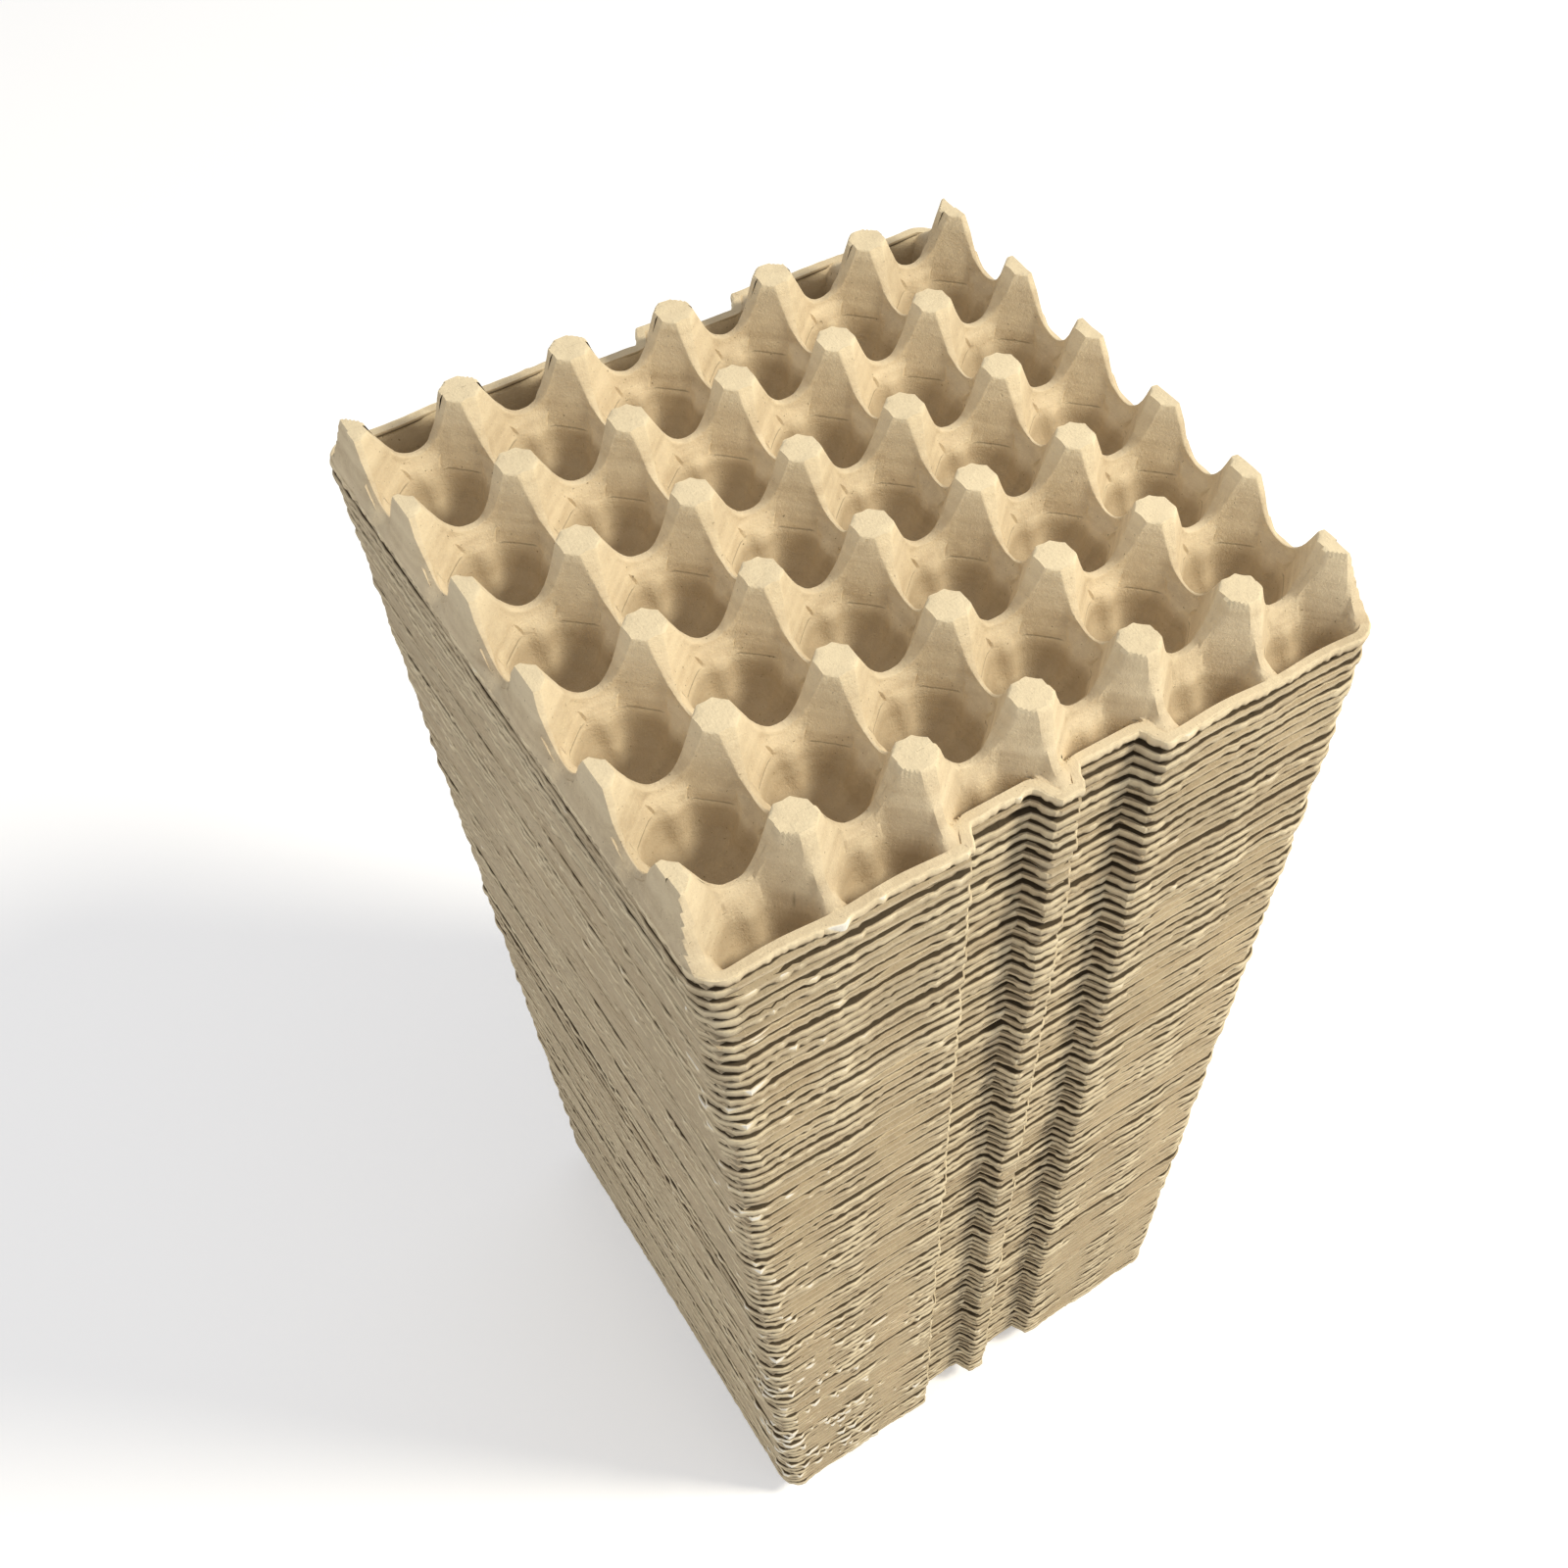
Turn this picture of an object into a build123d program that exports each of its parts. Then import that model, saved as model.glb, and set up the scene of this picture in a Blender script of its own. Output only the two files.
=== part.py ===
from build123d import *
import math
import os

# A stack of moulded paper-pulp egg trays, nested into one another.
# Millimetres, +Z up, origin on the surface it stands on, under the middle of the stack.
# Each tray holds 30 eggs in cups (6 along X, 5 along Y) with a row of 6 half pockets along
# the front and the back. Hollow posts stand where four cups meet, low saddles join them, and
# a flat rim runs round the tray with two finger notches in the front and two in the back.

# ---- driving dimensions ----
tray_count = 100
nest_pitch = 6.15  # rise from one nested tray to the next
bundle_size = 7  # trays written together in one node
cups_x = 6
cups_y = 5
cell_x = 46.4  # from cup to cup
cell_y = 48.7
tray_height = 47.0  # underside of the cups to the post tops
rim_height = 23.0  # underside of the cups to the top of the rim
wall = 1.4  # pulp thickness, square to the wall
floor_thick = 2.0  # at the bottom of each cup

# cups and posts
saddle_height = 27.0  # lowest point of the ridge between two posts
saddle_run = 13.0  # from a post's centre to the foot of its slope
ridge_width = 5.0
crease_height = 21.5  # where a post's flat face meets the cup
crease_reach = 19.6  # from the cup's centre, square to the post's flat face
cup_draft = 16.6  # degrees off vertical
post_draft = 14.3
side_draft = 14.0
post_reach = 7.0  # from a post's centre to the edge of its flat top, along X or Y

# outline
tray_x = 288.8
tray_y = 300.2
corner_run = 12.0  # how far each rounded corner reaches along a side
corner_cut = 3.5
rim_width = 4.0  # flat rim in front of the half pockets
notch_depth = 10.0
notch_top = 38.0  # notch width at the edge of the rim
notch_bottom = 25.0
notch_land = 2.0  # from the side of a notch to the step in the pocket wall behind it

# ---- worked out from them ----
post_rows = cups_y + 1
pocket_rows = cups_y + 2
row_end = cups_y * cell_y / 2  # the last row of posts
half_diagonal = math.hypot(cell_x, cell_y) / 2
diag_x = cell_x / 2 / half_diagonal  # direction from a cup's centre to a post
diag_y = cell_y / 2 / half_diagonal
rim_inner = tray_y / 2 - rim_width
above = tray_height + 8.0  # clear of the tray
below = -20.0
far = 200.0

# One side of a saddle: distance from the post's centre, and height
saddle_side = [(post_reach, tray_height), (saddle_run, saddle_height)]
# The slope from the last row of posts to the rim: distance from the row, and height
end_slope = [(post_reach, tray_height), (11.0, rim_height + 12.0), (rim_inner - row_end, rim_height)]


def saddle_profile(posts, pitch):
    """Points along the tops of a row of posts and of the saddles between them."""
    points = []
    for number in range(posts):
        centre = (number - (posts - 1) / 2) * pitch
        if number > 0:
            points += [(centre - away, height) for away, height in reversed(saddle_side)]
        if number < posts - 1:
            points += [(centre + away, height) for away, height in saddle_side]
    return points


def section_along_x():
    """Everything under a row of posts, seen from the front. It runs on level past the half posts."""
    tops = saddle_profile(cups_x + 1, cell_x)
    return [(-far, below), (-far, tray_height), *tops, (far, tray_height), (far, below)]


def section_along_y():
    """Everything under a column of posts, seen from the side, with the slopes down to the rim."""
    slope = [(row_end + away, height) for away, height in end_slope]
    slope += [(far, rim_height)]
    tops = saddle_profile(post_rows, cell_y)
    back = [(-y, z) for y, z in reversed(slope)]
    return [(-far, below), *back, *tops, *slope, (far, below)]


def all_round(quarter):
    """A closed outline from the quarter of it with positive X and Y, given clockwise from the side."""
    back = quarter + [(-x, y) for x, y in reversed(quarter)]
    return back + [(-x, -y) for x, y in back]


def rim_outline():
    """The edge of the rim in plan, with rounded corners and a notch each side of the middle."""
    half_x = tray_x / 2
    half_y = tray_y / 2
    notch = cell_x / 2
    quarter = [
        (half_x, half_y - corner_run),
        (half_x - corner_cut, half_y - corner_cut),
        (half_x - corner_run, half_y),
        (notch + notch_top / 2, half_y),
        (notch + notch_bottom / 2, half_y - notch_depth),
        (notch - notch_bottom / 2, half_y - notch_depth),
        (notch - notch_top / 2, half_y),
    ]
    return all_round(quarter)


def pocket_outline():
    """Where the outer walls of the half pockets meet the rim, stepped in behind the notches."""
    notched = cell_x - notch_land
    step = rim_inner - notch_depth
    return all_round([(tray_x / 2, rim_inner), (notched, rim_inner), (notched, step)])


def rhombus(reach):
    """A rhombus with each side square to a diagonal of the cell, at that distance from the centre."""
    return [(reach / diag_x, 0), (0, reach / diag_y), (-reach / diag_x, 0), (0, -reach / diag_y)]


def tapered(outline, height, bottom, angle, extra=0):
    """A prism from an outline, grown by extra, down to the bottom height, its sides drafted inwards."""
    with BuildPart() as prism:
        with BuildSketch(Plane.XY.offset(height)):
            with BuildLine():
                Polyline(*outline, close=True)
            make_face()
            if extra:
                offset(amount=extra, kind=Kind.INTERSECTION)
        extrude(amount=bottom - height)
        draft(prism.faces().filter_by(Axis.Z, reverse=True), Plane.XY.offset(height), -angle)
    return prism.part


def make_hollow(extra, bottom):
    """The open space above one cup and between its four posts, with its sides moved out by extra."""
    reach = crease_reach + extra
    top_reach = reach + (above - crease_height) * math.tan(math.radians(post_draft))
    half_x = (cell_x - ridge_width) / 2 + extra
    half_y = (cell_y - ridge_width) / 2 + extra
    square = [(half_x, half_y), (-half_x, half_y), (-half_x, -half_y), (half_x, -half_y)]
    with BuildPart() as between_posts:
        add(tapered(rhombus(top_reach), above, crease_height, post_draft))
        add(tapered(rhombus(reach), crease_height, bottom, cup_draft))
    with BuildPart() as hollow:
        add(tapered(square, saddle_height, bottom, cup_draft))
        with BuildSketch(Plane.XY.offset(saddle_height)):
            Rectangle(2 * cell_x, 2 * cell_y)
        extrude(amount=above - saddle_height)
        add(between_posts.part, mode=Mode.INTERSECT)
    return hollow.part


def make_pocket_limits(extra):
    """All that lies inside the outer walls of the half pockets, or above the rim."""
    with BuildPart() as limits:
        add(tapered(pocket_outline(), rim_height, below, side_draft, extra))
        with BuildSketch(Plane.XY.offset(rim_height)):
            Rectangle(2 * far, 2 * far)
        extrude(amount=far)
    return limits.part


def make_hollows(extra, bottom):
    """All 30 cups and 12 half pockets, the half pockets cut off by their outer walls below the rim."""
    hollow = make_hollow(extra, bottom)
    with BuildPart() as hollows:
        with GridLocations(cell_x, cell_y, cups_x, pocket_rows):
            add(hollow)
        add(make_pocket_limits(extra), mode=Mode.INTERSECT)
    return hollows.part


def make_outer_walls(inset):
    """All that lies inside the drafted outer faces of the half posts, or below the rim."""
    across = inset / math.cos(math.radians(side_draft))
    with BuildPart() as walls:
        with BuildSketch(Plane.XY.offset(rim_height)):
            Rectangle(tray_x - 2 * across, tray_y)
        extrude(amount=tray_height, taper=side_draft)
        with BuildSketch(Plane.XY.offset(below)):
            Rectangle(2 * far, 2 * far)
        extrude(amount=rim_height - inset - below)
    return walls.part


def make_form(inset, bottom):
    """The upper face of the mould (inset 0) or the lower one (inset by the wall), solid underneath."""
    across = inset / math.cos(math.radians(side_draft))
    with BuildPart() as form:
        with BuildSketch(Plane.XZ):
            with BuildLine():
                Polyline(*section_along_x(), close=True)
            make_face()
            offset(amount=-inset, kind=Kind.INTERSECTION)
        extrude(amount=far, both=True)
        with BuildSketch(Plane.YZ):
            with BuildLine():
                Polyline(*section_along_y(), close=True)
            make_face()
            offset(amount=-inset, kind=Kind.INTERSECTION)
        extrude(amount=far, both=True, mode=Mode.INTERSECT)
        add(make_outer_walls(inset), mode=Mode.INTERSECT)
        add(make_hollows(across, bottom), mode=Mode.SUBTRACT)
    return form.part


def make_tray():
    """One tray: what lies between the two faces of the mould, trimmed to the edge of the rim."""
    with BuildPart() as tray:
        with BuildSketch():
            with BuildLine():
                Polyline(*rim_outline(), close=True)
            make_face()
        extrude(amount=tray_height)
        add(make_form(0, floor_thick), mode=Mode.INTERSECT)
        add(make_form(wall, 0), mode=Mode.SUBTRACT)
    return tray.part


# ---- the stack ----
def stack_up(tray, first, last):
    """Trays number first to last of the stack, counted from the bottom one, each a solid of its own."""
    numbers = range(first, last + 1)
    return [tray.moved(Location((0, 0, (number - 1) * nest_pitch))) for number in numbers]


def write_node(tray, name, first, last):
    node = Compound(label=name, children=stack_up(tray, first, last))
    export_step(node, f"parts/{name}.step", write_pcurves=False)


# The bottom and the top tray are nodes of their own. Those between them are all alike and go in bundles.
os.makedirs("parts", exist_ok=True)
tray = make_tray()
write_node(tray, "bottom_tray", 1, 1)
for first in range(2, tray_count, bundle_size):
    last = min(first + bundle_size, tray_count) - 1
    write_node(tray, f"trays_{first:03d}_to_{last:03d}", first, last)
write_node(tray, "top_tray", tray_count, tray_count)
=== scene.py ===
"""A tall stack of moulded paper-pulp egg trays, dressed for close views.

The CAD frame gives the trays and their places. This script adds a finely modelled top tray,
the ragged moulded edge of every tray in the stack, pulp materials, a studio and a camera.
"""

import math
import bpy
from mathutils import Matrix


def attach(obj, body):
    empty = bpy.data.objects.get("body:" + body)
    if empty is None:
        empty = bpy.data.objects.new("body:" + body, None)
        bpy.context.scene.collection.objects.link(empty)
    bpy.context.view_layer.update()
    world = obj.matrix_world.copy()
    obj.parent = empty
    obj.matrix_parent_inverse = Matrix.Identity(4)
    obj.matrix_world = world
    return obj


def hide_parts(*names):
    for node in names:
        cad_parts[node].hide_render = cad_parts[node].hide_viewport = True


bl_info = {
    "name": "Pulp Egg Tray Stack",
    "version": (1, 0, 0),
    "blender": (4, 5, 0),
    "location": "View3D > Sidebar > Egg Trays",
    "description": "Builds the looks of a nested stack of moulded pulp egg trays",
    "category": "Object",
}

import bpy
import numpy as np
from bpy.props import FloatProperty, FloatVectorProperty, IntProperty, PointerProperty
from mathutils import Vector

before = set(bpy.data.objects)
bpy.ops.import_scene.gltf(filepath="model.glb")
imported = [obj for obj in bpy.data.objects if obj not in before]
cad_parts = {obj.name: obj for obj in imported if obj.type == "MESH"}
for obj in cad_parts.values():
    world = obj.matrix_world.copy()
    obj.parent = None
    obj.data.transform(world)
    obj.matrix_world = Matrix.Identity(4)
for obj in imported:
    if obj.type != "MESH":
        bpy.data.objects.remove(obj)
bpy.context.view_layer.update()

MM = 0.001

# ---- the trays, in millimetres, as the CAD has them ----
TRAYS = 100
PITCH = 6.15  # rise from one nested tray to the next
CUPS_X, CUPS_Y = 6, 5
CELL_X, CELL_Y = 46.4, 48.7
HEIGHT = 47.0
RIM = 23.0
SADDLE = 27.0
CREASE = 20.0
FLOOR = 2.0
SHOULDER_HEIGHTS = (2.0, 5.0, 8.5, 13.0, 16.0, 18.0, 20.0, 21.5, 23.0, 25.0, 26.8, 30.0, 47.0)
SHOULDER_REACHES = (9.0, 11.5, 13.4, 15.3, 16.3, 17.0, 18.1, 19.2, 20.4, 21.9, 22.8, 23.2, 24.2)
BOWL = 8.5  # where the rounded bottom of a cup meets its wall
HALF_X, HALF_Y = 144.4, 150.1
RIM_WIDTH = 4.0
POST_REACH = 7.9
ROUNDING = 0.06  # how fast a ridge falls away from its middle line
ROW_END = CUPS_Y * CELL_Y / 2
POCKET_WALL = HALF_Y - RIM_WIDTH
CORNER = 12.0
NOTCH_AT = CELL_X / 2
NOTCH_DEPTH = 10.0
NOTCH_TOP, NOTCH_BOTTOM = 38.0, 25.0
WALL = 1.4
NEST_GAP = 5.7  # the most that a steep wall may take up of the rise

# ---- how finely the top tray is meshed ----
FACE_COLUMNS = 3  # over each half of a post's flat face
SIDE_COLUMNS = 6  # from the fold beside a flat face to the middle of the saddle
WALL_RINGS = 8  # from the crease up to the ridges


def tan(degrees):
    return math.tan(math.radians(degrees))


# ---- settings in the sidebar ----


class EggTrayShape(bpy.types.PropertyGroup):
    grid: FloatProperty(name="Grid", description="Mesh spacing on the top tray", default=0.00110, unit="LENGTH")
    lip: FloatProperty(name="Lip", description="Depth of the moulded edge", default=0.0033, unit="LENGTH")
    wander: FloatProperty(name="Wander", description="Sideways drift of a tray", default=0.0005, unit="LENGTH")
    ragged: FloatProperty(name="Ragged", description="Unevenness of the edges", default=0.0005, unit="LENGTH")
    seed: IntProperty(name="Seed", description="Seed of every random draw", default=7)


class EggTrayColours(bpy.types.PropertyGroup):
    pulp: FloatVectorProperty(
        name="Pulp", description="Main colour of the pulp", subtype="COLOR", default=(0.65, 0.54, 0.37), size=3
    )
    # pale is also used as a painted highlight along the lips' top edges
    pale: FloatVectorProperty(
        name="Pale", description="Rubbed and dusty parts", subtype="COLOR", default=(0.84, 0.72, 0.49), size=3
    )
    # dark is also used as painted shade low in the cups, in the gaps between the lips and along the creases
    dark: FloatVectorProperty(
        name="Dark", description="Damp and shaded fibre", subtype="COLOR", default=(0.30, 0.22, 0.13), size=3
    )
    floor: FloatVectorProperty(
        name="Floor", description="Floor and backdrop", subtype="COLOR", default=(0.93, 0.93, 0.93), size=3
    )


def shape():
    return bpy.context.scene.egg_tray_shape


def colours():
    return bpy.context.scene.egg_tray_colours


# ---- smooth noise for shapes ----


def lattice(seed):
    return np.random.default_rng(seed).uniform(-1, 1, (64, 64))


def noise(x, y, size, seed):
    """Smooth values between -1 and 1, one lattice cell to each size."""
    table = lattice(seed)
    u, v = np.asarray(x) / size + 31.7, np.asarray(y) / size + 17.3
    i, j = np.floor(u).astype(int), np.floor(v).astype(int)
    a, b = u - i, v - j
    a, b = a * a * (3 - 2 * a), b * b * (3 - 2 * b)
    i0, i1, j0, j1 = i % 64, (i + 1) % 64, j % 64, (j + 1) % 64
    low = table[i0, j0] * (1 - a) + table[i1, j0] * a
    high = table[i0, j1] * (1 - a) + table[i1, j1] * a
    return low * (1 - b) + high * b


def soft_min(a, b, radius):
    """The lower of two heights, rounded where they cross."""
    near = np.clip(0.5 + 0.5 * (b - a) / radius, 0, 1)
    return b * (1 - near) + a * near - radius * near * (1 - near)


def soft_max(a, b, radius):
    return -soft_min(-a, -b, radius)


# ---- the face of a tray ----


def crest(t, count, pitch):
    """Height along a row of posts with catenary saddles between them, how far down the saddle, how far off a post."""
    first = -(count - 1) / 2 * pitch
    number = np.clip(np.round((t - first) / pitch), 0, count - 1)
    away = np.abs(t - first - number * pitch)
    part = np.clip((away - POST_REACH) / (pitch / 2 - POST_REACH), 0, 1)
    return SADDLE + (HEIGHT - SADDLE) * (1 - part) ** 2.3, part, np.minimum(away, 6.0)


def end_ridge(y):
    """Height from the last row of posts out to the rim."""
    part = np.clip((np.abs(y) - ROW_END - POST_REACH) / (POCKET_WALL - ROW_END - POST_REACH), 0, 1)
    return RIM + (HEIGHT - RIM) * (1 - part) ** 2.1


def ridges(x, y):
    """Height of the posts, saddles and end ridges, as if there were no cups."""
    rows, part_x, away_x = crest(x, CUPS_X + 1, CELL_X)
    columns, part_y, away_y = crest(y, CUPS_Y + 1, CELL_Y)
    rows = rows - ROUNDING * away_y**2 * np.minimum(4 * part_x, 1)
    columns = np.where(np.abs(y) > ROW_END, end_ridge(y), columns) - ROUNDING * away_x**2 * np.minimum(4 * part_y, 1)
    return np.minimum(rows, columns)


def flat_half(z):
    """Half the width of a post's flat face."""
    return np.interp(z, (CREASE, HEIGHT), (9.2, 3.7))


def flat_reach(z):
    """From the cup's centre to the post's flat face, or below the crease to the cup's flattened wall."""
    return 19.2 + np.where(z >= CREASE, (z - CREASE) * tan(14.3), (z - CREASE) * tan(7.0))


def round_reach(z):
    """From the cup's centre to its round wall: steep, then a rounded shoulder up to the saddle, then steep again."""
    return np.interp(z, SHOULDER_HEIGHTS, SHOULDER_REACHES)


def column_angles(z):
    """Angles of the mesh's columns round a cup at each height. They follow the edges of the flat faces."""
    diagonal = math.atan2(CELL_Y, CELL_X)
    edge = np.arctan2(flat_half(z), flat_reach(np.maximum(z, CREASE)))
    fold = edge + math.radians(2.6)
    steps = np.linspace(0, 1, SIDE_COLUMNS + 1) ** 0.75  # closer together towards the post
    face = np.linspace(-1, 1, 2 * FACE_COLUMNS + 1)
    columns = [steps[:-1] * (diagonal - fold)[..., None]]
    columns.append((diagonal - fold)[..., None])
    columns.append(diagonal + face * edge[..., None])
    columns.append((diagonal + fold)[..., None])
    rest = math.pi / 2 - (diagonal + fold)[..., None]
    columns.append((diagonal + fold)[..., None] + (1 - steps[-2::-1]) * rest)
    return np.concatenate(columns, axis=-1)


def wall_reach(angle, z):
    """From the cup's centre to its wall in the direction of an angle of the first quadrant."""
    diagonal = math.atan2(CELL_Y, CELL_X)
    off = np.abs(angle - diagonal)
    edge = np.arctan2(flat_half(z), flat_reach(np.maximum(z, CREASE)))
    groove = 0.15 * np.exp(-(((z - CREASE) / 0.3) ** 2)) * (off < 0.9 * edge)
    flat = (flat_reach(z) + groove) / np.cos(np.minimum(off, 0.6))
    inside = np.clip((off - edge) / math.radians(2.6), 0, 1)
    below = np.clip((off - 0.5 * edge) / (math.radians(42) - 0.5 * edge), 0, 1)
    rise = np.clip((z - CREASE) / 3.5, 0, 1)
    fall = 1 - np.clip((z - 31.0) / 4.0, 0, 1)
    inside = inside * rise * fall + below * below * (3 - 2 * below) * (1 - rise)
    rounded = round_reach(z)
    fade = np.clip((z - 4.0) / (CREASE - 4.0), 0, 1)
    blended = flat * (1 - inside) + rounded * inside
    return np.where(z >= CREASE, blended, rounded + (blended - rounded) * np.sqrt(fade))


def reach_table():
    """Height of the cup's wall for each direction of the first quadrant and each distance from the centre."""
    angles = np.radians(np.linspace(0, 90, 181))
    heights = np.linspace(FLOOR, HEIGHT, 226)
    distances = np.linspace(0, 36, 721)
    reach = wall_reach(angles[:, None], heights[None, :])
    rows = [np.interp(distances, np.maximum.accumulate(row), heights, left=0, right=99) for row in reach]
    return np.array(rows)


REACH_TABLE = reach_table()


def hollow(x, y):
    """Height of the cup's wall over each point, found from the table of its reach."""
    column = np.clip(np.round(x / CELL_X - 0.5), -3, 2)
    row = np.clip(np.round(y / CELL_Y), -3, 3)
    dx = np.abs(x - (column + 0.5) * CELL_X)
    dy = np.abs(y - row * CELL_Y)
    angle = np.degrees(np.arctan2(dy, dx)) * 2
    distance = np.minimum(np.hypot(dx, dy) * 20, 719.0)
    near = distance.astype(int)
    part = distance - near
    angle = np.round(angle).astype(int)
    wall = REACH_TABLE[angle, near] * (1 - part) + REACH_TABLE[angle, near + 1] * part
    return np.maximum(wall, FLOOR + 0.020 * np.hypot(dx, dy) ** 2)


def side_wall(x):
    return RIM + (HALF_X - np.abs(x)) / tan(14.0)


def pocket_wall(x, y):
    """Height of the half pockets' outer wall, which steps in behind the notches."""
    step = NOTCH_DEPTH * np.clip((CELL_X - 1.0 - np.abs(x)) / 2.0 + 0.5, 0, 1)
    return np.minimum(RIM - (POCKET_WALL - step - np.abs(y)) / tan(14.0), RIM)


def tray_height(x, y):
    """Height of the tray's upper face over its own underside."""
    tops = soft_min(ridges(x, y), side_wall(x), 0.8)
    cups = soft_max(hollow(x, y), pocket_wall(x, y), 0.6)
    rim = np.where(np.abs(y) > POCKET_WALL, RIM, -100.0)
    return np.maximum(soft_min(tops, cups, 0.8), rim)


def edge_y(x):
    """How far the front and back edges reach at each x: rounded corners, two notches, slight bows."""
    side = np.abs(x)
    corner = np.clip(side - (HALF_X - CORNER), 0, CORNER)
    reach = HALF_Y - (CORNER - np.sqrt(CORNER**2 - corner**2))
    from_notch = np.abs(side - NOTCH_AT)
    depth = np.clip((NOTCH_TOP / 2 - from_notch) / ((NOTCH_TOP - NOTCH_BOTTOM) / 2), 0, 1)
    depth = depth * depth * (3 - 2 * depth)
    bow = 1.1 * (1 - np.cos(2 * math.pi * side / CELL_X)) / 2 * (side > NOTCH_AT + NOTCH_TOP / 2)
    return reach - NOTCH_DEPTH * depth - bow


def outline(step):
    """Points round the edge of a tray, anticlockwise from the middle of the front, step apart."""
    x = np.arange(-HALF_X, HALF_X + 1e-6, 0.05)
    front = np.column_stack([x, -edge_y(x)])
    y = np.arange(-(HALF_Y - CORNER), HALF_Y - CORNER, 0.05)
    right = np.column_stack([np.full_like(y, HALF_X), y])
    loop = np.vstack([front, right, -front, -right])
    gap = np.hypot(*np.diff(np.vstack([loop, loop[:1]]), axis=0).T)
    along = np.concatenate([[0], np.cumsum(gap)])
    count = int(along[-1] / step)
    at = np.linspace(0, along[-1], count, endpoint=False)
    closed = np.vstack([loop, loop[:1]])
    points = np.column_stack([np.interp(at, along, closed[:, k]) for k in (0, 1)])
    tangent = np.roll(points, -2, axis=0) - np.roll(points, 2, axis=0)
    tangent /= np.hypot(*tangent.T)[:, None]
    outward = np.column_stack([tangent[:, 1], -tangent[:, 0]])
    return points, outward, at


# ---- meshes ----


def make_object(name, points, faces, wear_and_painted_light, shade):
    """A smooth mesh object from millimetre points, with two values on each point for its material: the first gives
    rubbing, torn pulp, painted highlights and painted shade in gaps and creases; the second gives tone and painted
    shade low in the cups.
    """
    mesh = bpy.data.meshes.new(name)
    mesh.from_pydata((np.asarray(points) * MM).tolist(), [], faces)
    mesh.polygons.foreach_set("use_smooth", np.ones(len(mesh.polygons), bool))
    for label, values in (("wear_and_painted_light", wear_and_painted_light), ("shade", shade)):
        attribute = mesh.attributes.new(label, "FLOAT", "POINT")
        attribute.data.foreach_set("value", np.asarray(values, np.float32))
    mesh.set_sharp_from_angle(angle=math.radians(28))
    mesh.validate()
    mesh.update()
    thing = bpy.data.objects.new(name, mesh)
    bpy.context.scene.collection.objects.link(thing)
    return thing


def grid_faces(rows, columns, offset=0, flip=False):
    index = np.arange(rows * columns).reshape(rows, columns) + offset
    quads = [index[:-1, :-1], index[:-1, 1:], index[1:, 1:], index[1:, :-1]]
    faces = np.stack([q.ravel() for q in quads], axis=1)
    return faces[:, ::-1] if flip else faces


def tray_grid(x, rows, inner, outer=1.0):
    """Points of a grid with columns at x, its rows spread from y = inner out to the edge."""
    grid_x, part = np.meshgrid(x, np.linspace(0, outer, rows))
    return grid_x, inner + part * (edge_y(grid_x) - inner)


def dent(points, seed):
    """Moves points of the moulded face by a little, so that no face is quite flat."""
    x, y, z = points.T
    moved = points.copy()
    moved[:, 0] += 0.26 * noise(y + 0.7 * z, x - 0.5 * z, 11.0, seed) + 0.07 * noise(y + z, x + z, 2.1, seed + 1)
    moved[:, 1] += 0.26 * noise(x + 0.7 * z, y - 0.5 * z, 11.0, seed + 2) + 0.07 * noise(x - z, y + z, 2.1, seed + 3)
    moved[:, 2] += 0.22 * noise(x, y, 9.0, seed + 4) + 0.12 * noise(x, y, 2.4, seed + 5)
    moved[:, 2] += 0.9 * noise(x, y, 90.0, seed + 6)
    return moved


def all_quadrants(angles, reach):
    """Angles and reaches all round a cup from those of the first quadrant, both ends of which are given."""
    back = angles[..., ::-1]
    turned = [angles, math.pi - back[..., 1:], math.pi + angles[..., 1:], 2 * math.pi - back[..., 1:-1]]
    flipped = reach[..., ::-1]
    return np.concatenate(turned, axis=-1), np.concatenate(
        [reach, flipped[..., 1:], reach[..., 1:], flipped[..., 1:-1]], axis=-1
    )


def wall_ends():
    """The height at which each column of a cup's wall meets the ridges above it."""
    heights = np.linspace(CREASE, HEIGHT, 600)
    angles = column_angles(heights)
    reach = wall_reach(angles, heights[:, None])
    tops = ridges(CELL_X / 2 + reach * np.cos(angles), reach * np.sin(angles))
    over = heights[:, None] >= tops - 0.7
    first = np.where(over.any(axis=0), over.argmax(axis=0), len(heights) - 1)
    return heights[first]


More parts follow.
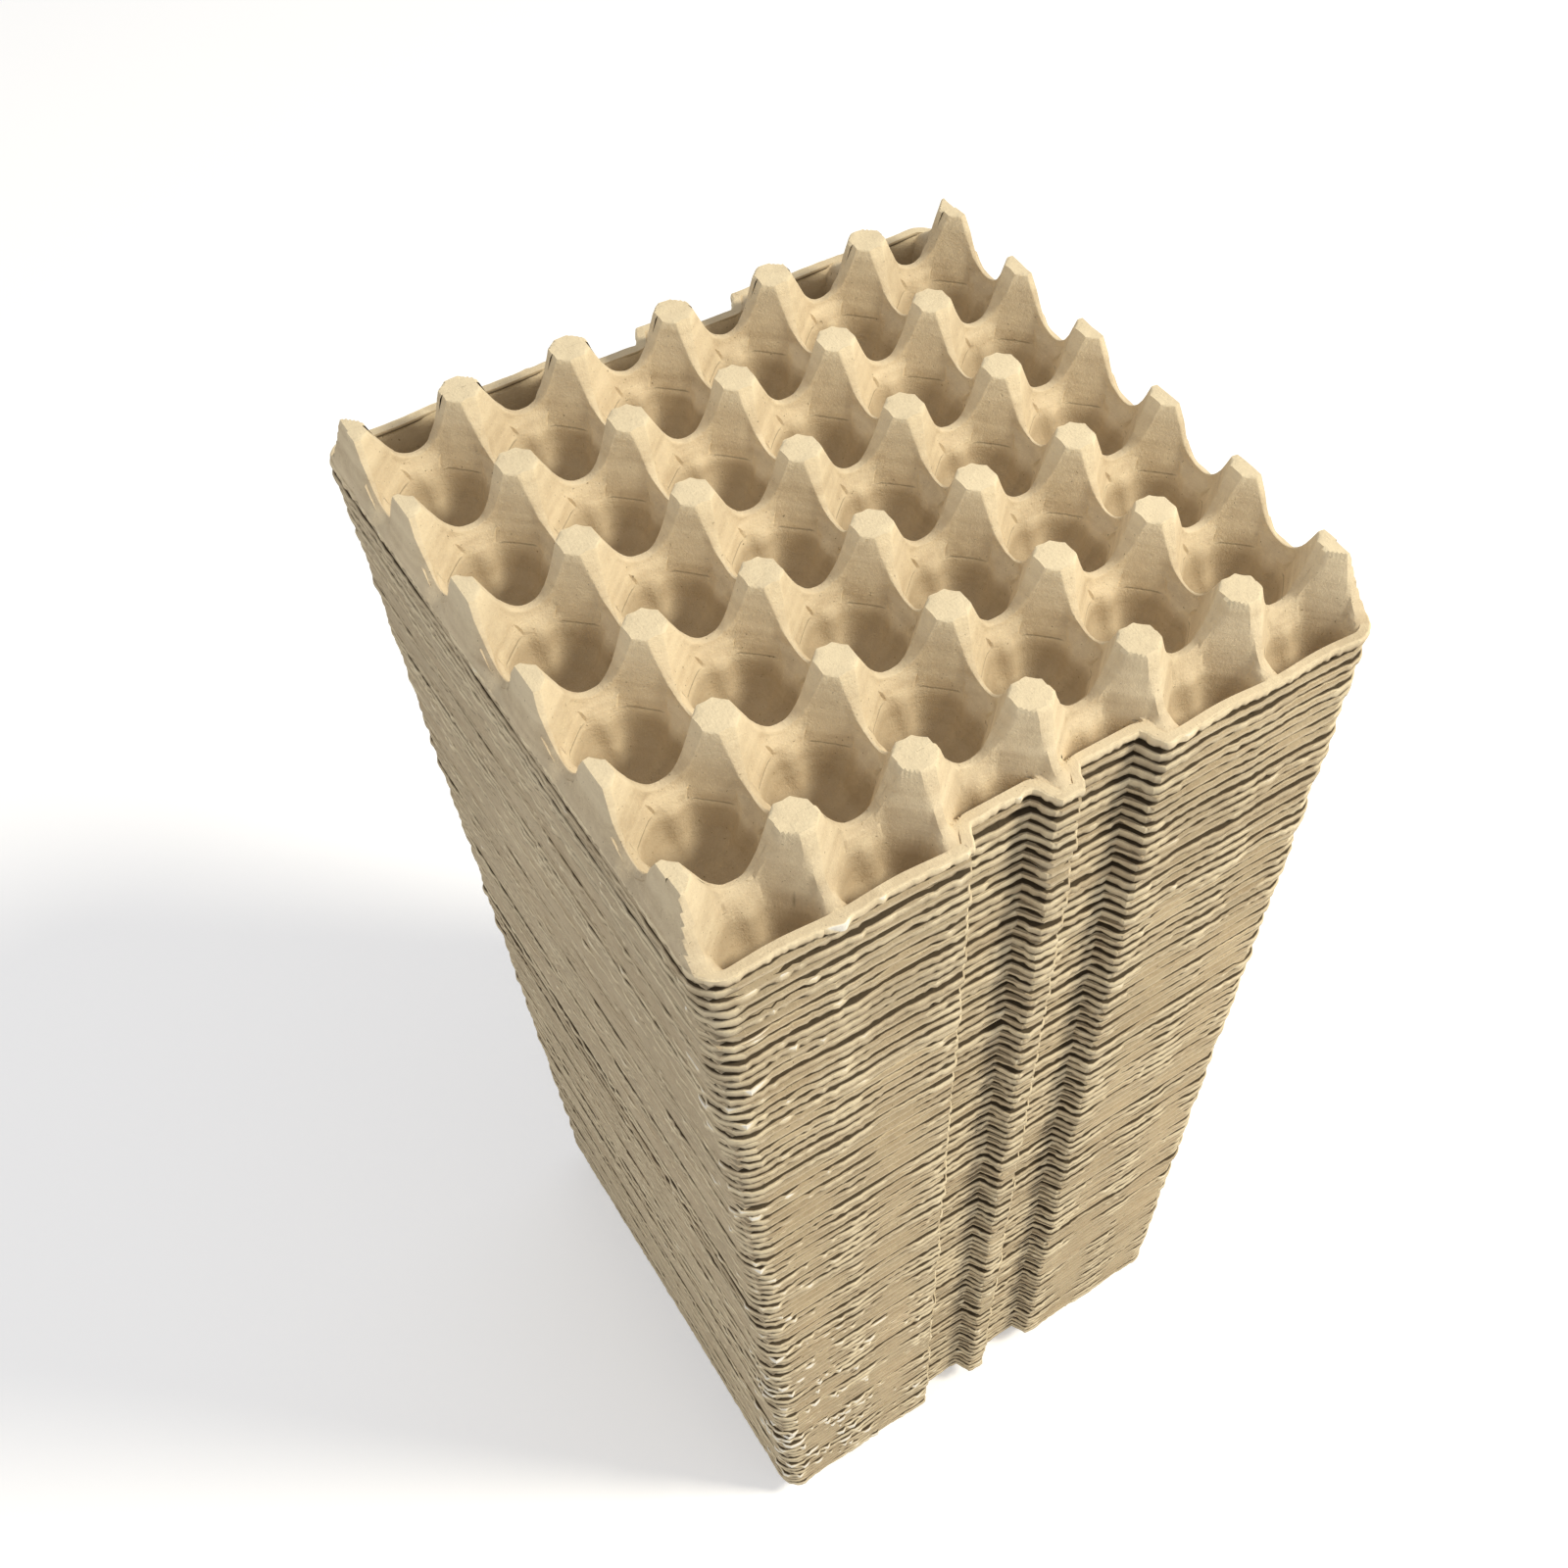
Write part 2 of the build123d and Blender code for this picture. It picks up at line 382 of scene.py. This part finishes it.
def cup_points(centre_x, centre_y):
    """Rings of points over one cup's cell, from the middle of its floor out to the cell's edges."""
    ends = wall_ends()
    rings = []
    low = np.full(len(ends), BOWL)
    low_angles = column_angles(low[:1])[0]
    low_reach = wall_reach(low_angles, low)
    for part in (0.02, 0.35, 0.65, 0.85):
        rings.append((low_angles, low_reach * part, low * 0 + FLOOR + (BOWL - FLOOR) * part**2.6))
    levels = [low * 0 + height for height in (BOWL, 11.5, 14.5, 16.5, 18.2, CREASE - 0.6, CREASE)]
    levels += [CREASE + 0.6 + (ends - CREASE - 0.6) * part for part in np.linspace(0, 1, WALL_RINGS)]
    for level in levels:
        angles = np.array([column_angles(level[k : k + 1])[0][k] for k in range(len(level))])
        rings.append((angles, wall_reach(angles, level), level))
    last_angles, last_reach, last_height = rings[-1]
    border_x, border_y = last_reach * np.cos(last_angles), last_reach * np.sin(last_angles)
    face = np.linspace(-1, 1, 2 * FACE_COLUMNS + 1)
    start = SIDE_COLUMNS + 1
    post = slice(start, start + len(face))
    reach_y, reach_x = CELL_Y / 2 - border_y[start], CELL_X / 2 - border_x[start + len(face) - 1]
    border_y[post] = CELL_Y / 2 - np.maximum(-face, 0) * reach_y
    border_x[post] = CELL_X / 2 - np.maximum(face, 0) * reach_x
    border_x[:start] = CELL_X / 2
    border_y[start + len(face) :] = CELL_Y / 2
    rows = []
    for angles, reach, height in rings:
        angles, reach = all_quadrants(angles, reach)
        height = all_quadrants(angles[: len(ends)], height)[1]
        rows.append(np.stack([centre_x + reach * np.cos(angles), centre_y + reach * np.sin(angles), height], axis=-1))
    angles, border = all_quadrants(np.arctan2(border_y, border_x), np.hypot(border_x, border_y))
    out = np.stack([border * np.cos(angles), border * np.sin(angles)], axis=-1)
    out += (centre_x, centre_y)
    sill = RIM + (HALF_X - abs(centre_x) - CELL_X / 2) / tan(14.0)
    if sill < HEIGHT:  # a cell at the side of the tray, which ends at the outer faces of the half posts
        side = HALF_X - (ridges(out[:, 0], out[:, 1]) - RIM) * tan(14.0)
        out[:, 0] = np.clip(out[:, 0], -side, side)
    wall_top = rows[-1][:, :2]
    for part, under in ((0.07, 0.28), (0.2, 0.06), (0.6, 0.0), (1.0, 0.0)):
        place = wall_top + (out - wall_top) * part
        rows.append(np.column_stack([place, ridges(place[:, 0], place[:, 1]) - under]))
    return np.stack(rows)


def ring_faces(rings, columns, offset):
    """Quads between closed rings of points."""
    index = np.arange(rings * columns).reshape(rings, columns) + offset
    beside = np.roll(index, -1, axis=1)
    quads = [index[:-1], beside[:-1], beside[1:], index[1:]]
    return np.stack([q.ravel() for q in quads], axis=1)[:, ::-1]


def face_paler_tops_and_crease_shade(points):
    """How pale the moulded face is, most on the post tops and the rim, with painted shade along the crease of each
    post's flat face.
    """
    high = np.clip((points[:, 2] - SADDLE + 2) / (HEIGHT - SADDLE), 0, 1)
    wear_and_painted_light = 0.35 * high + 0.35 * (points[:, 2] > HEIGHT - 0.8)
    rim = (np.abs(points[:, 1]) > POCKET_WALL) & (np.abs(points[:, 2] - RIM) < 0.6)
    across, deep = points[:, 0] / CELL_X - 0.5, points[:, 1] / CELL_Y
    dx, dy = np.abs(across - np.round(across)) * CELL_X, np.abs(deep - np.round(deep)) * CELL_Y
    turned = np.abs(np.arctan2(dy, dx) - math.atan2(CELL_Y, CELL_X))
    # painted shade: a dark line along the crease, where the flat face meets the steeper cup wall below
    crease = (np.abs(points[:, 2] - CREASE) < 0.01) & (turned < math.radians(23))
    return np.where(crease, -0.55, np.maximum(wear_and_painted_light, 0.6 * rim))


def cup_painted_shade(points):
    """Painted shade in the cups: darker below the crease."""
    return -0.9 * np.clip((CREASE + 0.5 - points[:, 2]) / 5.0, 0, 1)


def make_top_tray():
    """The tray on top: both faces finely modelled, joined by a ragged moulded edge."""
    settings = shape()
    points, faces = [], []
    total = 0
    sides = {-1: [], 1: []}
    for column in range(CUPS_X):
        for row in range(CUPS_Y):
            centre = ((column - (CUPS_X - 1) / 2) * CELL_X, (row - (CUPS_Y - 1) / 2) * CELL_Y)
            cell = cup_points(*centre)
            rings, columns = cell.shape[:2]
            points.append(cell.reshape(-1, 3))
            faces.append(ring_faces(rings, columns, total))
            total += rings * columns
            if column in (0, CUPS_X - 1):
                side = 1 if column else -1
                edge = cell[-1]
                outer = np.abs(edge[:, 1] - centre[1]) <= CELL_Y / 2 * np.abs(edge[:, 0] - centre[0]) / 22.0 + 1e-6
                outer &= (edge[:, 0] - centre[0]) * side > 0
                sides[side].append(edge[outer])
    for side, parts in sides.items():
        edge = np.vstack(parts)
        edge = edge[np.argsort(edge[:, 1])]
        part = np.linspace(0, 1, 8)[:, None]
        x = edge[:, 0] + (side * HALF_X - edge[:, 0]) * part
        z = edge[:, 2] + (RIM - edge[:, 2]) * part
        strip = np.stack([x, edge[:, 1] + 0 * x, z], axis=-1)
        points.append(strip.reshape(-1, 3))
        faces.append(grid_faces(len(part), len(edge), total, flip=side > 0))
        total += x.size
    spacing = settings.grid / MM
    x = np.linspace(-HALF_X, HALF_X, int(2 * HALF_X / spacing))
    grid_x, grid_y = tray_grid(x, int((HALF_Y - ROW_END) / spacing), ROW_END)
    for side in (-1, 1):
        zone = np.stack([grid_x, side * grid_y, tray_height(grid_x, grid_y)], axis=-1)
        points.append(zone.reshape(-1, 3))
        faces.append(grid_faces(*grid_x.shape, total, flip=side < 0))
        total += grid_x.size
    points, faces = np.vstack(points), np.vstack(faces)
    places, where = np.unique(np.round(points, 3), axis=0, return_inverse=True)
    faces = where.ravel()[faces]
    wear_and_painted_light = face_paler_tops_and_crease_shade(places)
    top = dent(places, settings.seed)
    under, under_faces = make_underside(len(top), spacing * 2.4)
    lip = make_lip(0.0, settings.seed + 1000, 0.9, flat=True)
    lift = np.array([0, 0, (TRAYS - 1) * PITCH])
    return make_object(
        "top_tray_pulp",
        np.vstack([top, under, lip[0]]) + lift,
        faces.tolist() + under_faces.tolist() + (lip[1] + len(top) + len(under)).tolist(),
        np.concatenate([wear_and_painted_light, np.zeros(len(under)), lip[2]]),
        np.concatenate([cup_painted_shade(places), np.zeros(len(under)), lip[3]]),
    )


def make_underside(offset, spacing):
    """The lower face of a tray: the upper one less the thickness of the pulp, square to its slope."""
    step = 0.4
    x = np.linspace(-HALF_X + 0.5, HALF_X - 0.5, int(2 * HALF_X / spacing))
    half = int(HALF_Y / spacing)
    grid_x, grid_y = tray_grid(x, half, 0.0, 0.995)
    back = np.stack([grid_x, grid_y, tray_height(grid_x, grid_y)], axis=-1)
    slope_x = (tray_height(grid_x + step, grid_y) - tray_height(grid_x - step, grid_y)) / 2 / step
    slope_y = (tray_height(grid_x, grid_y + step) - tray_height(grid_x, grid_y - step)) / 2 / step
    thick = np.minimum(WALL * np.sqrt(1 + slope_x**2 + slope_y**2), NEST_GAP)
    back[..., 2] = np.maximum(back[..., 2] - thick, 0)
    front = back[:0:-1] * (1, -1, 1)
    whole = np.concatenate([front, back])
    return dent(whole.reshape(-1, 3), shape().seed), grid_faces(*whole.shape[:2], offset, flip=True)


def make_lip(base, seed, step, flat=False):
    """The moulded edge of one tray: points, faces and the two material values of a thin ragged band round the rim. A
    nested tray gets painted shadow on its rim under the lip of the tray above, and a painted highlight on its top
    edge.
    """
    settings = shape()
    ragged = settings.ragged / MM
    points, outward, along = outline(step)
    still = np.zeros_like(along)
    rng = np.random.default_rng(seed)
    shift = rng.normal(0, settings.wander / MM, 2) * (not flat)
    tone = rng.normal(0, 0.35)
    wave = 0.25 * noise(along, still, 70.0, seed) + 0.13 * noise(along, still, 22.0, seed + 1)
    if flat:
        wave = 0.9 * noise(points[:, 0], points[:, 1], 90.0, settings.seed + 6)
    # the pulp is torn most near the front left corner, and roughly frayed low on the left of the front
    corner = np.exp(-np.hypot(points[:, 0] + HALF_X - 8, points[:, 1] + HALF_Y) / 14.0)
    low = np.clip(1 - base / 320.0, 0, 1) * np.exp(-((points[:, 0] + 90) / 60.0) ** 2) * (points[:, 1] < -120)
    torn = np.clip(noise(along, still, 2.6, seed + 2) + 0.6 * noise(along, still, 9.0, seed + 8) - 0.25, 0, 1)
    torn = torn * (0.5 + 2.4 * corner + 1.6 * low)
    fuzz = noise(along, still, 1.9, seed + 9)
    drop = settings.lip / MM * (1 + 0.12 * noise(along, still, 14.0, seed + 3))
    drop += ragged * (noise(along, still, 3.0, seed + 4) + 0.8 * fuzz)
    push = 0.4 * noise(along, still, 34.0, seed + 5) + 0.3 * noise(along, still, 7.0, seed + 6) + ragged * 0.7 * fuzz
    push = push + torn * 0.9
    # painted shadow on the inner rim top, under the lip of the tray above; the top tray's rim is a little paler
    # instead
    inner = 0.25 if flat else -1.0
    # rows: out, up, share of the drop, painted light (the rim top inside, the top edge with a painted highlight, the
    # lip's face, and its bottom edge and underside in painted shade)
    section = [
        (-RIM_WIDTH, 0.12, 0.0, inner),
        (-0.75, 0.24, 0.0, inner),
        (-0.02, -0.15, 0.0, 1.0),
        (0.30, -0.35, 0.35, 0.2),
        (0.10, 0.0, 1.0, -0.7),
        (-0.7, 0.15, 1.0, -1.0),
        (-1.6, -1.2, 0.0, -1.0),
        (-RIM_WIDTH, -1.5, 0.0, -1.0),
    ]
    rings, wear_and_painted_light = [], []
    for out, up, part, painted_light_and_rub in section:
        place = points + outward * (out + push * (out > -1.2))[:, None] + shift
        height = base + RIM + up + wave - drop * part + torn * 0.5 * (out > 0) * fuzz
        rings.append(np.column_stack([place, height]))
        wear_and_painted_light.append(painted_light_and_rub + (0.25 * fuzz + 1.5 * torn) * (out > -0.7))
    shade = tone + 0.4 * noise(along, still, 24.0, seed + 7) + 0.3 * noise(along, still, 5.0, seed + 10)
    from_ridge = points[:, 0] - CELL_X * np.round(points[:, 0] / CELL_X)
    shade += 0.5 * np.exp(-((from_ridge / 3.5) ** 2)) * (np.abs(points[:, 1]) > HALF_Y - 4)
    return np.vstack(rings), ring_loop(len(section), len(points)), np.concatenate(wear_and_painted_light), np.tile(shade, len(section))


def ring_loop(rings, columns):
    """Quads of a closed tube, its last ring joined to its first."""
    index = np.arange(rings * columns).reshape(rings, columns)
    below = np.roll(index, -1, axis=0)
    quads = [index, below, np.roll(below, -1, axis=1), np.roll(index, -1, axis=1)]
    return np.stack([q.ravel() for q in quads], axis=1)


def make_edges(name, first, last, step):
    """The moulded edges of trays number first to last of the stack, counted from the bottom."""
    points, faces, wear_and_painted_light, shade = [], [], [], []
    total = 0
    for number in range(first, last + 1):
        lip = make_lip((number - 1) * PITCH, 100 + 11 * number, step)
        points.append(lip[0])
        faces.append(lip[1] + total)
        wear_and_painted_light.append(lip[2])
        shade.append(lip[3])
        total += len(lip[0])
    return make_object(name, np.vstack(points), np.vstack(faces).tolist(), np.concatenate(wear_and_painted_light), np.concatenate(shade))


# ---- materials ----


def new_material(name):
    material = bpy.data.materials.new(name)
    material.use_nodes = True
    nodes = material.node_tree.nodes
    nodes.clear()
    output = nodes.new("ShaderNodeOutputMaterial")
    shader = nodes.new("ShaderNodeBsdfPrincipled")
    material.node_tree.links.new(shader.outputs["BSDF"], output.inputs["Surface"])
    return material, nodes, material.node_tree.links, shader


def add_noise(nodes, links, vector, scale, detail=4.0, roughness=0.6):
    node = nodes.new("ShaderNodeTexNoise")
    node.inputs["Scale"].default_value = scale
    node.inputs["Detail"].default_value = detail
    node.inputs["Roughness"].default_value = roughness
    links.new(vector, node.inputs["Vector"])
    return node.outputs["Fac"]


def stretch(nodes, links, vector, scale):
    node = nodes.new("ShaderNodeMapping")
    node.inputs["Scale"].default_value = scale
    links.new(vector, node.inputs["Vector"])
    return node.outputs["Vector"]


def remap(nodes, links, value, low, high, to_low=0.0, to_high=1.0):
    node = nodes.new("ShaderNodeMapRange")
    node.inputs["From Min"].default_value = low
    node.inputs["From Max"].default_value = high
    node.inputs["To Min"].default_value = to_low
    node.inputs["To Max"].default_value = to_high
    links.new(value, node.inputs["Value"])
    return node.outputs["Result"]


def blend_colour(nodes, links, factor, first, second):
    node = nodes.new("ShaderNodeMix")
    node.data_type = "RGBA"
    links.new(factor, node.inputs["Factor"])
    for slot_name, value in (("A", first), ("B", second)):
        socket = [s for s in node.inputs if s.name == slot_name and s.type == "RGBA"][0]
        if isinstance(value, tuple):
            socket.default_value = value
        else:
            links.new(value, socket)
    return [s for s in node.outputs if s.type == "RGBA"][0]


def math_node(nodes, links, operation, first, second):
    node = nodes.new("ShaderNodeMath")
    node.operation = operation
    for socket, value in zip(node.inputs, (first, second)):
        if isinstance(value, (int, float)):
            socket.default_value = value
        else:
            links.new(value, socket)
    return node.outputs[0]


def rgba(colour, gain=1.0):
    return tuple(min(1.0, c * gain) for c in colour) + (1.0,)


def make_pulp(name, gain, rub_and_highlight_strength):
    """Grey-tan moulded pulp: mottled, flecked with fibres and specks, paler where rubbing shows and with painted
    highlights, darker with painted shade in the cups, gaps and creases.
    """
    tones = colours()
    material, nodes, links, shader = new_material(name)
    place = nodes.new("ShaderNodeTexCoord").outputs["Object"]
    cloudy = add_noise(nodes, links, place, 18.0)
    mottled = add_noise(nodes, links, place, 160.0, 6.0, 0.7)
    fibres_x = add_noise(nodes, links, stretch(nodes, links, place, (0.25, 1.0, 1.0)), 1500.0, 3.0, 0.6)
    fibres_y = add_noise(nodes, links, stretch(nodes, links, place, (1.0, 0.25, 1.0)), 1300.0, 3.0, 0.6)
    fibres = math_node(nodes, links, "MULTIPLY", fibres_x, fibres_y)
    grain = add_noise(nodes, links, place, 900.0, 6.0, 0.7)
    layers = add_noise(nodes, links, stretch(nodes, links, place, (0.06, 0.06, 1.0)), 190.0, 2.0)
    tone = blend_colour(
        nodes, links, remap(nodes, links, cloudy, 0.35, 0.68), rgba(tones.pulp, gain), rgba(tones.pulp, gain * 1.22)
    )
    tone = blend_colour(nodes, links, remap(nodes, links, layers, 0.30, 0.72, 0.0, 0.55), tone, rgba(tones.dark, 1.5))
    tone = blend_colour(nodes, links, remap(nodes, links, mottled, 0.42, 0.75, 0.0, 0.5), tone, rgba(tones.pale, gain))
    tone = blend_colour(nodes, links, remap(nodes, links, fibres, 0.30, 0.42, 0.0, 0.35), tone, rgba(tones.pale, 1.15))
    specks = remap(nodes, links, add_noise(nodes, links, place, 700.0, 2.0), 0.69, 0.74, 0.0, 0.75)
    tone = blend_colour(nodes, links, specks, tone, rgba(tones.dark, 0.7))
    wear_and_painted_light = nodes.new("ShaderNodeAttribute")
    wear_and_painted_light.attribute_name = "wear_and_painted_light"
    # paler towards the post tops and rim, on torn pulp, and as a painted highlight along the lips' top edges
    rub_and_painted_highlight = math_node(nodes, links, "MULTIPLY", wear_and_painted_light.outputs["Fac"], remap(nodes, links, grain, 0.3, 0.7, 0.5, 1.0))
    rub_and_painted_highlight = math_node(nodes, links, "MULTIPLY", rub_and_painted_highlight, rub_and_highlight_strength)
    tone = blend_colour(nodes, links, rub_and_painted_highlight, tone, rgba(tones.pale, 1.12))
    shade = nodes.new("ShaderNodeAttribute")
    shade.attribute_name = "shade"
    # painted shade low in the cups, and a darker random tone on the edges
    painted_shade_and_dark_tone = remap(nodes, links, shade.outputs["Fac"], 0.0, -1.0, 0.0, 0.55)
    tone = blend_colour(nodes, links, painted_shade_and_dark_tone, tone, rgba(tones.dark, 1.15))
    dusty = remap(nodes, links, shade.outputs["Fac"], 0.0, 1.0, 0.0, 0.45)
    tone = blend_colour(nodes, links, dusty, tone, rgba(tones.pale))
    torn = remap(nodes, links, wear_and_painted_light.outputs["Fac"], 1.3, 1.9, 0.0, 0.9)
    tone = blend_colour(nodes, links, torn, tone, (0.92, 0.88, 0.79, 1.0))
    # painted shade in the gaps between the lips, under the lips and along the creases
    painted_gap_and_crease_shade = remap(nodes, links, wear_and_painted_light.outputs["Fac"], -0.1, -0.9, 0.0, 0.95)
    tone = blend_colour(nodes, links, painted_gap_and_crease_shade, tone, rgba(tones.dark, 0.28))
    links.new(tone, shader.inputs["Base Color"])
    shader.inputs["Roughness"].default_value = 0.95
    shader.inputs["Specular IOR Level"].default_value = 0.15
    relief = math_node(nodes, links, "ADD", grain, math_node(nodes, links, "MULTIPLY", mottled, 1.5))
    relief = math_node(nodes, links, "ADD", relief, math_node(nodes, links, "MULTIPLY", fibres, 1.2))
    bump = nodes.new("ShaderNodeBump")
    bump.inputs["Strength"].default_value = 0.8
    bump.inputs["Distance"].default_value = 0.00035
    links.new(relief, bump.inputs["Height"])
    links.new(bump.outputs["Normal"], shader.inputs["Normal"])
    return material


def make_floor_material():
    """A pale floor that keeps the shadow and looks white to the camera elsewhere."""
    material, nodes, links, shader = new_material("studio_floor")
    shader.inputs["Base Color"].default_value = rgba(colours().floor)
    shader.inputs["Roughness"].default_value = 0.9
    shader.inputs["Emission Color"].default_value = (1.0, 1.0, 1.0, 1.0)
    path = nodes.new("ShaderNodeLightPath")
    glow = math_node(nodes, links, "MULTIPLY", path.outputs["Is Camera Ray"], 0.32)
    links.new(glow, shader.inputs["Emission Strength"])
    return material


def dress(thing, material):
    thing.data.materials.clear()
    thing.data.materials.append(material)


# ---- operators, one for each group of pieces ----


class EGGTRAY_OT_stack(bpy.types.Operator):
    """Gives the nested CAD trays their pulp material"""

    bl_idname = "eggtray.stack"
    bl_label = "Nested Trays"

    def execute(self, context):
        pulp = make_pulp("pulp_inside", 0.85, 0.5)
        for name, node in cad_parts.items():
            dress(node, pulp)
        return {"FINISHED"}


class EGGTRAY_OT_edges(bpy.types.Operator):
    """Adds the ragged moulded edge of every tray, a piece to each bundle"""

    bl_idname = "eggtray.edges"
    bl_label = "Tray Edges"

    def execute(self, context):
        # a darker copy of the pulp for the stack's sides: painted shade
        pulp = make_pulp("pulp_edges_painted_darker", 0.70, 0.8)
        bundle = 17
        for first in range(1, TRAYS, bundle):
            last = min(first + bundle, TRAYS) - 1
            edges = make_edges(f"edges_{first:03d}_to_{last:03d}", first, last, 2.5)
            dress(edges, pulp)
            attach(edges, "root")
        return {"FINISHED"}


class EGGTRAY_OT_top_tray(bpy.types.Operator):
    """Builds the tray on top, with its cups, posts and saddles"""

    bl_idname = "eggtray.top_tray"
    bl_label = "Top Tray"

    def execute(self, context):
        tray = make_top_tray()
        # a brighter copy of the pulp for the lit top tray: painted light
        dress(tray, make_pulp("pulp_top_painted_brighter", 1.05, 1.0))
        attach(tray, "root")
        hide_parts("top_tray")
        return {"FINISHED"}


class EGGTRAY_OT_stage(bpy.types.Operator):
    """Sets the floor, the lights, the background and the camera"""

    bl_idname = "eggtray.stage"
    bl_label = "Stage"

    def execute(self, context):
        mesh = bpy.data.meshes.new("floor")
        reach = 12.0
        mesh.from_pydata([(-reach, -reach, 0), (reach, -reach, 0), (reach, reach, 0), (-reach, reach, 0)], [], [(0, 1, 2, 3)])
        floor = bpy.data.objects.new("floor", mesh)
        context.scene.collection.objects.link(floor)
        dress(floor, make_floor_material())
        add_world(context)
        add_lamp("key", (1.8, -1.5, 2.7), (0, 0, 0.5), 0.7, 88.0, (1.0, 0.94, 0.80))
        add_lamp("fill", (-2.6, -0.9, 1.6), (0, 0, 0.35), 2.2, 6.0, (1.0, 0.98, 0.95))
        add_camera(context)
        context.scene.view_settings.view_transform = "Standard"
        return {"FINISHED"}


def add_world(context):
    """White to the camera, softer as a light."""
    world = bpy.data.worlds.new("studio")
    world.use_nodes = True
    nodes, links = world.node_tree.nodes, world.node_tree.links
    nodes.clear()
    output = nodes.new("ShaderNodeOutputWorld")
    mix = nodes.new("ShaderNodeMixShader")
    light = nodes.new("ShaderNodeBackground")
    seen = nodes.new("ShaderNodeBackground")
    path = nodes.new("ShaderNodeLightPath")
    light.inputs["Color"].default_value = (0.98, 0.98, 1.0, 1.0)
    light.inputs["Strength"].default_value = 0.50
    seen.inputs["Color"].default_value = (1.0, 1.0, 1.0, 1.0)
    links.new(path.outputs["Is Camera Ray"], mix.inputs["Fac"])
    links.new(light.outputs["Background"], mix.inputs[1])
    links.new(seen.outputs["Background"], mix.inputs[2])
    links.new(mix.outputs["Shader"], output.inputs["Surface"])
    context.scene.world = world


def add_lamp(name, place, aim, size, power, colour):
    data = bpy.data.lights.new(name, "AREA")
    data.shape = "DISK"
    data.size = size
    data.energy = power
    data.color = colour
    lamp = bpy.data.objects.new(name, data)
    lamp.location = place
    lamp.rotation_euler = (Vector(aim) - Vector(place)).to_track_quat("-Z", "Y").to_euler()
    bpy.context.scene.collection.objects.link(lamp)
    return lamp


def add_camera(context):
    """High in front and to the left, looking down the stack."""
    data = bpy.data.cameras.new("camera")
    data.sensor_width = 36.0
    data.lens = 36.03
    data.shift_x = -0.097
    data.shift_y = 0.101
    camera = bpy.data.objects.new("camera", data)
    camera.location = (-0.2377, -0.3899, 1.0504)
    camera.rotation_euler = tuple(math.radians(a) for a in (32.964, -1.886, -34.392))
    context.scene.collection.objects.link(camera)
    context.scene.camera = camera


class EGGTRAY_PT_panel(bpy.types.Panel):
    """Lists the pieces of the stack and their settings"""

    bl_label = "Egg Tray Stack"
    bl_idname = "EGGTRAY_PT_panel"
    bl_space_type = "VIEW_3D"
    bl_region_type = "UI"
    bl_category = "Egg Trays"

    def draw(self, context):
        for group in (context.scene.egg_tray_shape, context.scene.egg_tray_colours):
            for name in group.bl_rna.properties.keys():
                if name not in ("rna_type", "name"):
                    self.layout.prop(group, name)
        for operator in (EGGTRAY_OT_stack, EGGTRAY_OT_edges, EGGTRAY_OT_top_tray, EGGTRAY_OT_stage):
            self.layout.operator(operator.bl_idname)


CLASSES = (
    EggTrayShape,
    EggTrayColours,
    EGGTRAY_OT_stack,
    EGGTRAY_OT_edges,
    EGGTRAY_OT_top_tray,
    EGGTRAY_OT_stage,
    EGGTRAY_PT_panel,
)


def register():
    for item in CLASSES:
        bpy.utils.register_class(item)
    bpy.types.Scene.egg_tray_shape = PointerProperty(type=EggTrayShape)
    bpy.types.Scene.egg_tray_colours = PointerProperty(type=EggTrayColours)


def unregister():
    del bpy.types.Scene.egg_tray_shape
    del bpy.types.Scene.egg_tray_colours
    for item in reversed(CLASSES):
        bpy.utils.unregister_class(item)


def main():
    register()
    bpy.ops.eggtray.stack()
    bpy.ops.eggtray.edges()
    bpy.ops.eggtray.top_tray()
    bpy.ops.eggtray.stage()


if __name__ == "__main__":
    main()
